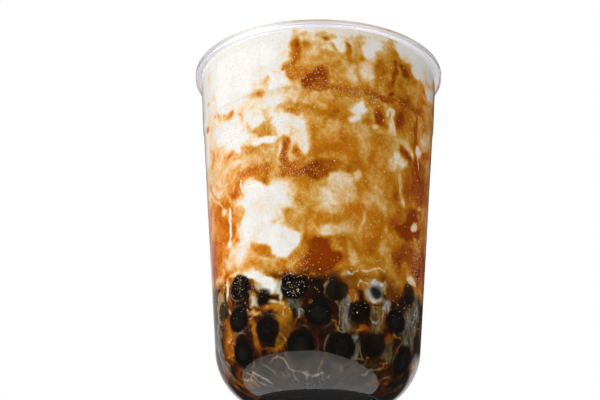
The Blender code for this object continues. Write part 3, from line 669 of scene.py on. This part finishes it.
def paint(piece):
    """Stores what the drink's material reads: the syrup's share, how orange it is, how much pearl or dark
    syrup shows through, and the pale rings where the drink wets a pearl."""
    points = np.empty(len(piece.data.vertices) * 3, np.float32)
    piece.data.vertices.foreach_get("co", points)
    points = points.reshape(-1, 3).astype(float)
    mm = points * 1000
    az = azimuth_of(points)
    front = 1 - smooth(np.abs(az) + 16 * noise(mm, 13, 99), 80, 104)
    share = syrup_share(mm, az, front)
    warmth = 0.12 + smooth(-az, 22, 50) + 0.5 * smooth(az, 50, 66) + 0.45 * layered(mm, 14, 90, 3)
    warmth = warmth * (0.45 + 0.55 * smooth(mm[:, 2], 34, 42)) * (1 - 0.9 * smooth(mm[:, 2], 113, 117))
    warmth = np.maximum(warmth, (np.abs(az) > 95) * (0.5 + 0.5 * noise(mm, 22, 95)))
    shown, ratio = cover_of_pearls(points)
    nudged = swirled(swirled(swirled(mm, 7, 1.2, 400), 3, 0.8, 410), 1.2, 0.4, 420)
    rough = 0.36 * layered(nudged, 5, 430, 4, 0.62)
    edge = smooth(-mm[:, 2] - 3.2 * noise(nudged, 11, 120) - 1.2 * noise(nudged, 4, 125), -38.8, -33.0)
    haze = layered(swirled(mm, 6, 2.0, 450) * np.array([1, 1, 0.5]), 6, 130)
    behind = [0.66 + 0.4 * layered(nudged, 6, 160), 0.62 - 1.1 * np.clip(haze, -0.5, 0.7)]
    given = [behind[0].copy(), behind[1].copy()]
    lay(VEILS, given, azimuth_of(nudged), nudged[:, 2], rough)
    for value, depth, width, *route in VEINS:
        drawn = 0.75 * draw_streak(route, width, azimuth_of(nudged), nudged[:, 2], rough)
        given[0] += drawn * (value - given[0])
        given[1] += drawn * (depth - given[1])
    low_share, low_dark = (b + front * (g - b) for b, g in zip(behind, given))
    wisps = np.exp(-((noise(nudged * np.array([1, 1, 0.45]), 5, 460) / 0.045) ** 2))
    wisps = wisps * smooth(haze, -0.25, 0.35)
    wisps = wisps * (0.3 + 0.7 * smooth(mm[:, 2], 5, 12))
    low_share, low_dark = low_share - 0.5 * wisps, low_dark * (1 - 0.38 * wisps)
    grain = layered(nudged * np.array([1, 1, 0.4]), 2.6, 470, 3, 0.75)
    low_dark = np.clip(low_dark + 0.20 * grain * smooth(1.05 - low_dark, 0, 0.25), 0, 1)
    below = smooth(-mm[:, 2] - 1.2 * noise(nudged, 5, 480), -40.5, -36)
    reached = below * smooth(np.abs(low_share - 0.84), 0.02, 0.1) * (low_dark < 0.3)
    inset = np.clip(np.maximum(edge, reached), 0, 1)
    dark = edge * (1 - (1 - low_dark) * (1 - shown * (1 - 0.6 * wisps)))
    dark = np.maximum(dark, shown * smooth(-mm[:, 2], -39.5, -37))
    ring = np.exp(-(((ratio - 1.06) / 0.035) ** 2)) * smooth(noise(nudged, 6, 150), -0.1, 0.6) * edge * 0.7
    share = share + inset * (low_share - share)
    for name, values in (("syrup", share), ("warmth", warmth), ("dark", dark), ("ring", ring)):
        kept = piece.data.attributes.new(name, "FLOAT", "POINT")
        kept.data.foreach_set("value", values.astype(np.float32))


# Milk and syrup behind the wall: no gloss of its own there, since it wets the plastic. Two ramps run from
# milk to dark syrup, one golden and one orange, and grain of a millimetre and less breaks up the edges.
marbled, tree, shader = finish_of("milk_and_brown_sugar_syrup", Roughness=0.5, Specular_IOR_Level=0.0)
place = add(tree, "ShaderNodeTexCoord")
stored = ("syrup", "warmth", "dark", "ring")
read = {name: add(tree, "ShaderNodeAttribute", {"attribute_name": name}) for name in stored}
grain = add(
    tree, "ShaderNodeTexNoise", None,
    {"Vector": place.outputs["Object"], "Scale": 1 / 0.0011, "Detail": 4.0, "Roughness": 0.65}
)
shift = add(
    tree, "ShaderNodeMapRange", None,
    {"Value": grain.outputs["Fac"], "From Min": 0.3, "From Max": 0.7, "To Min": -0.06, "To Max": 0.06}
)
mixed = add(
    tree, "ShaderNodeMath", {"operation": "ADD", "use_clamp": True},
    {0: read["syrup"].outputs["Fac"], 1: shift.outputs[0]}
)
golden = add(tree, "ShaderNodeValToRGB", None, {"Fac": mixed.outputs[0]}, [
    (0.0, "#F8F5F0"), (1.0, "#4A1502"), (0.14, "#F4E6CE"), (0.28, "#E3BC80"), (0.41, "#D29B40"),
    (0.53, "#C07C12"), (0.68, "#A95C0A"), (0.82, "#8A3702"),
])
orange = add(tree, "ShaderNodeValToRGB", None, {"Fac": mixed.outputs[0]}, [
    (0.0, "#F8F5F0"), (1.0, "#521A04"), (0.14, "#F9E8D2"), (0.28, "#F4C890"), (0.41, "#EBA24E"),
    (0.53, "#DB7716"), (0.68, "#BC570B"), (0.82, "#953E03"),
])
hue = add(
    tree, "ShaderNodeMix", {"data_type": "RGBA"},
    {0: read["warmth"].outputs["Fac"], 6: golden.outputs[0], 7: orange.outputs[0]}
)
sunk = add(
    tree, "ShaderNodeMix", {"data_type": "RGBA"},
    {0: read["dark"].outputs["Fac"], 6: hue.outputs[2], 7: linear("#100D09")}
)
wet_ring = add(
    tree, "ShaderNodeMix", {"data_type": "RGBA"},
    {0: read["ring"].outputs["Fac"], 6: sunk.outputs[2], 7: linear("#8C7F6A")}
)
tree.links.new(wet_ring.outputs[2], shader.inputs["Base Color"])

# The open surface: milk with faint syrup marbling and the wet gloss of a cold drink.
open_milk, tree, shader = finish_of("milk_surface", Roughness=0.12, IOR=1.35)
place = add(tree, "ShaderNodeTexCoord")
drift = add(
    tree, "ShaderNodeTexNoise", None,
    {"Vector": place.outputs["Object"], "Scale": 1 / 0.03, "Detail": 5.0, "Distortion": 2.2}
)
swirl = add(
    tree, "ShaderNodeValToRGB", None, {"Fac": drift.outputs["Fac"]},
    [(0.30, "#EEE8DC"), (0.78, "#B97A33"), (0.46, "#E8D8BC"), (0.60, "#D8B27C")]
)
tree.links.new(swirl.outputs["Color"], shader.inputs["Base Color"])

# The milk stands at its level, and a film of it clings to the wall above, up to just under the flange.
# The angles round both are closer at the front, where the marbling is painted.
AROUND = np.radians(np.concatenate([np.arange(-75, 75, 0.5), np.linspace(75, 285, 176)[:-1]]))
FLAT_RADIUS = 0.0392
top_inner = np.linspace(0, FLAT_RADIUS, 12)
surface = np.stack([top_inner, np.full(12, DRINK_LEVEL)], 1)
FILM_THICK = 0.0004
lip = float(wall_radius(DRINK_LEVEL)) - WETTED - FILM_THICK
climb = np.linspace(0, 1, 7)[1:]
meniscus = np.stack([FLAT_RADIUS + (lip - FLAT_RADIUS) * climb, DRINK_LEVEL + 0.0005 * climb**3], 1)
FILM_TOP = 0.1203
film = np.array([[float(wall_radius(h)) - WETTED - FILM_THICK, h] for h in (0.1182, 0.1189, 0.1196, 0.1201)])
film_edge = [[float(wall_radius(FILM_TOP)) - WETTED - FILM_THICK / 2, FILM_TOP]]
SPLIT = 0.038  # where the drink ends and the syrup round the pearls begins
heights = np.linspace(FILM_TOP - 0.0001, SPLIT, 180)
side = np.stack([wall_radius(heights) - WETTED, heights], 1)
under = np.array([[side[-1, 0] * 0.66, SPLIT], [side[-1, 0] * 0.33, SPLIT], [0.0, SPLIT]])
drink_points, drink_faces = revolve(np.vstack([surface, meniscus, film, film_edge, side, under]), AROUND)
drink = make_piece("milk_and_syrup", drink_points, drink_faces, marbled)
drink.data.materials.append(open_milk)
middles = np.empty(len(drink.data.polygons) * 3, np.float32)
drink.data.polygons.foreach_get("center", middles)
middles = middles.reshape(-1, 3)
is_open = (middles[:, 2] > DRINK_LEVEL - 0.0001) & (np.hypot(middles[:, 0], middles[:, 1]) < lip - 0.00001)
drink.data.polygons.foreach_set("material_index", is_open.astype(np.int32))
paint(drink)
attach(drink, "root")
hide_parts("drink")

low_side = side_profile(WETTED, SPLIT, floor_height - WETTING, 0.00033)
bed_top = np.array([[0.0, SPLIT], [low_side[0, 0] * 0.5, SPLIT]])
bed_floor = np.stack([np.linspace(low_side[-1, 0], 0, 18)[1:], np.full(17, floor_height - WETTING)], 1)
bed_points, bed_faces = revolve(np.vstack([bed_top, low_side, bed_floor]), AROUND)
bed = make_piece("syrup_round_pearls", bed_points, bed_faces, marbled)
paint(bed)
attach(bed, "root")


# THE CONDENSATION. Fine drops of water that a cold drink gathers on the outside of the cup, thickest in
# patches. Each is a low dome, 0.2 to 0.5 mm across, whose lower half lies in the wall, with a painted glint:
# a pale golden, partly opaque finish in place of clear water.
# The patches: azimuth in degrees, height in mm, and how far each spreads in degrees and in mm.
MIST = [
    (-6, 102, 8, 8), (-14, 88, 7, 9), (-26, 76, 10, 8), (-12, 70, 8, 5), (-14, 39, 8, 4), (-12, 30, 4, 3),
    (-44, 72, 8, 7), (20, 97, 10, 5), (64, 46, 4, 7), (-56, 94, 7, 8), (-28, 98, 6, 4), (-36, 28, 3, 3),
    (-47, 35, 3, 3),
]
DROPS_PER_PATCH, DROPS_ELSEWHERE = 4.5, 2600
rng = np.random.default_rng(8)
spots, reaches = [], []
for at, height, wide, high in MIST:
    count = int(wide * high * DROPS_PER_PATCH)
    across = at + rng.normal(size=count) * wide / 1.1
    spots.append(np.stack([across, height + rng.normal(size=count) * high / 1.6], 1))
    reaches.append(0.00009 + 0.0001 * rng.random(count) ** 3)
anywhere = rng.uniform(-180, 180, DROPS_ELSEWHERE)
spots.append(np.stack([anywhere, rng.uniform(22, 117, DROPS_ELSEWHERE)], 1))
reaches.append(0.00009 + 0.00016 * rng.random(DROPS_ELSEWHERE) ** 4)
spots, reaches = np.vstack(spots), np.concatenate(reaches)
turn, level = np.radians(spots[:, 0]), spots[:, 1] / 1000
on_bowl = BOWL_R + np.sqrt(np.maximum(BOWL_RADIUS**2 - (level - BOWL_Z) ** 2, 0))
out = np.where(level < bowl_touch, on_bowl, wall_radius(level))
centres = np.stack([out * np.sin(turn), -out * np.cos(turn), level], 1)
normals = -inward(centres * np.array([0.999, 0.999, 1]))
sideways = np.stack([np.cos(turn), np.sin(turn), 0 * turn], 1)
upwards = np.cross(normals, sideways)
bead, bead_faces = ball(4, 6)
flat = bead[None, :, :1] * sideways[:, None] + bead[None, :, 1:2] * upwards[:, None]
domed = flat + 0.55 * bead[None, :, 2:] * normals[:, None]
beads = (centres[:, None] + reaches[:, None, None] * domed).reshape(-1, 3)
bead_quads = (bead_faces[None] + len(bead) * np.arange(len(centres))[:, None, None]).reshape(-1, 4)
# Pale golden and partly opaque where water is clear: painted glints, standing in for light sparkling on the
# drops.
drops_painted_glint, tree, shader = finish_of(
    "condensed_drops_painted_glint", Base_Color=linear("#FFE6BC"), Roughness=0.05, IOR=1.33, Transmission_Weight=0.4
)
let_light_through(tree, shader)
drops = make_piece("condensation", beads, bead_quads, drops_painted_glint, 180)
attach(drops, "root")


# THE STAGE. A pale table top that is clear from below, since the camera looks up from under it, a white
# backdrop behind, a large soft light high on the left and a weaker one on the right.
table_white, tree, shader = finish_of("pale_table", Base_Color=linear("#F2F1EF"), Roughness=0.6)
facing = add(tree, "ShaderNodeNewGeometry")
clear = add(tree, "ShaderNodeBsdfTransparent")
either = add(
    tree, "ShaderNodeMixShader", None,
    {0: facing.outputs["Backfacing"], 1: shader.outputs[0], 2: clear.outputs[0]}
)
tree.links.new(either.outputs[0], tree.nodes["Material Output"].inputs["Surface"])
corners = np.array([[-3, -3, 0], [3, -3, 0], [3, 3, 0], [-3, 3, 0]], float)
table = make_piece("table_top", corners - np.array([0, 0, 0.0001]), np.array([[0, 1, 2, 3]]), table_white)
table.visible_glossy = False

SMOOTHSTEP, LARGER = {"interpolation_type": "SMOOTHSTEP"}, {"operation": "MAXIMUM"}
MULTIPLY, MULTIPLY_ADD = {"operation": "MULTIPLY"}, {"operation": "MULTIPLY_ADD"}
world = bpy.data.worlds.new("studio")
bpy.context.scene.world = world
world.use_nodes = True
tree = world.node_tree
backdrop = tree.nodes["Background"]
toward = add(tree, "ShaderNodeTexCoord")
parts = add(tree, "ShaderNodeSeparateXYZ", None, {0: toward.outputs["Generated"]})
behind = add(
    tree, "ShaderNodeMapRange", SMOOTHSTEP,
    {"Value": parts.outputs["Y"], "From Min": 0.66, "From Max": 0.8}
)
tilted = add(tree, "ShaderNodeMath", MULTIPLY_ADD, {0: parts.outputs["X"], 1: 0.25, 2: parts.outputs["Z"]})
low_enough = add(
    tree, "ShaderNodeMapRange", SMOOTHSTEP,
    {"Value": tilted.outputs[0], "From Min": 0.32, "From Max": 0.22}
)
above_table = add(
    tree, "ShaderNodeMapRange", SMOOTHSTEP,
    {"Value": parts.outputs["Z"], "From Min": -0.14, "From Max": 0.0}
)
band = add(tree, "ShaderNodeMath", MULTIPLY, {0: low_enough.outputs[0], 1: above_table.outputs[0]})
screen = add(tree, "ShaderNodeMath", MULTIPLY, {0: behind.outputs[0], 1: band.outputs[0]})
# The bowl mirrors the bright floor in front; the shift keeps it out of the flat recess under the foot.
backwards = add(tree, "ShaderNodeMath", LARGER, {0: parts.outputs["Y"], 1: 0.0})
lowered = add(
    tree, "ShaderNodeMath", MULTIPLY_ADD,
    {0: backwards.outputs[0], 1: -0.11, 2: parts.outputs["Z"]}
)
sideways = add(tree, "ShaderNodeMath", MULTIPLY, {0: parts.outputs["X"], 1: parts.outputs["X"]})
widened = add(
    tree, "ShaderNodeMath", MULTIPLY_ADD,
    {0: sideways.outputs[0], 1: -0.14, 2: lowered.outputs[0]}
)
rightward = add(tree, "ShaderNodeMath", LARGER, {0: parts.outputs["X"], 1: 0.0})
leftward = add(
    tree, "ShaderNodeMath", MULTIPLY_ADD,
    {0: rightward.outputs[0], 1: 0.3, 2: widened.outputs[0]}
)
beneath = add(
    tree, "ShaderNodeMapRange", SMOOTHSTEP,
    {"Value": leftward.outputs[0], "From Min": -0.592, "From Max": -0.606}
)
floor_light = add(
    tree, "ShaderNodeMapRange", None,
    {"Value": parts.outputs["Z"], "From Min": -0.5, "From Max": -0.9, "To Min": 0.95, "To Max": 1.6}
)
overhead = add(
    tree, "ShaderNodeMapRange", SMOOTHSTEP,
    {"Value": parts.outputs["Z"], "From Min": 0.5, "From Max": 0.75, "To Max": 0.6}
)
side = add(
    tree, "ShaderNodeMapRange", None,
    {"Value": parts.outputs["X"], "From Min": -0.4, "From Max": -0.1, "To Min": 0.4, "To Max": 0.8}
)
white_screen = add(tree, "ShaderNodeMath", MULTIPLY, {0: screen.outputs[0], 1: side.outputs[0]})
white_below = add(tree, "ShaderNodeMath", MULTIPLY, {0: beneath.outputs[0], 1: floor_light.outputs[0]})
brighter = add(tree, "ShaderNodeMath", LARGER, {0: white_screen.outputs[0], 1: white_below.outputs[0]})
soft_top = add(tree, "ShaderNodeMath", LARGER, {0: brighter.outputs[0], 1: overhead.outputs[0]})
dim = add(tree, "ShaderNodeMath", {"operation": "ADD"}, {0: soft_top.outputs[0], 1: 0.05})
seen = add(tree, "ShaderNodeLightPath")
through = add(
    tree, "ShaderNodeMath", LARGER,
    {0: seen.outputs["Is Camera Ray"], 1: seen.outputs["Is Transmission Ray"]}
)
strength = add(
    tree, "ShaderNodeMix", {"data_type": "FLOAT"}, {0: through.outputs[0], 2: dim.outputs[0], 3: 1.0}
)
backdrop.inputs["Color"].default_value = (1, 1, 1, 1)
tree.links.new(strength.outputs[0], backdrop.inputs["Strength"])


def soft_light(name, azimuth, elevation, distance, size, power):
    """Square area light, in degrees round from the front and above the horizon, aimed at the cup."""
    lamp = bpy.data.lights.new(name, "AREA")
    lamp.shape, lamp.size, lamp.energy = "SQUARE", size, power
    light = bpy.data.objects.new(name, lamp)
    a, e = math.radians(azimuth), math.radians(elevation)
    back = Vector((math.sin(a) * math.cos(e), -math.cos(a) * math.cos(e), math.sin(e)))
    turn = back.to_track_quat("Z", "Y").to_matrix().to_4x4()
    light.matrix_world = Matrix.Translation(back * distance + Vector((0, 0, 0.07))) @ turn
    bpy.context.scene.collection.objects.link(light)


soft_light("key_softbox", -60, 47, 1.1, 0.7, 10.7)
soft_light("fill_softbox", 42, 50, 1.3, 0.8, 4.5)

# The camera of the photograph, fitted to the cup's rim, sides and foot.
camera_data = bpy.data.cameras.new("camera")
camera_data.lens, camera_data.sensor_width = 82.92, 36.0
camera = bpy.data.objects.new("camera", camera_data)
bpy.context.scene.collection.objects.link(camera)
pitch, yaw, roll = 0.3716, -0.014, 0.007
ahead = np.array([math.sin(yaw) * math.cos(pitch), math.cos(yaw) * math.cos(pitch), math.sin(pitch)])
right = np.array([math.cos(yaw), -math.sin(yaw), 0.0])
up = np.cross(right, ahead)
turned_right = math.cos(roll) * right + math.sin(roll) * up
turned_up = -math.sin(roll) * right + math.cos(roll) * up
CAMERA_PLACE = np.array([0.0, -0.457756, -0.104641])
pose = np.eye(4)
pose[:3] = np.stack([turned_right, turned_up, -ahead, CAMERA_PLACE], 1)
camera.matrix_world = Matrix(pose.tolist())
bpy.context.scene.camera = camera
bpy.context.scene.view_settings.view_transform = "Standard"
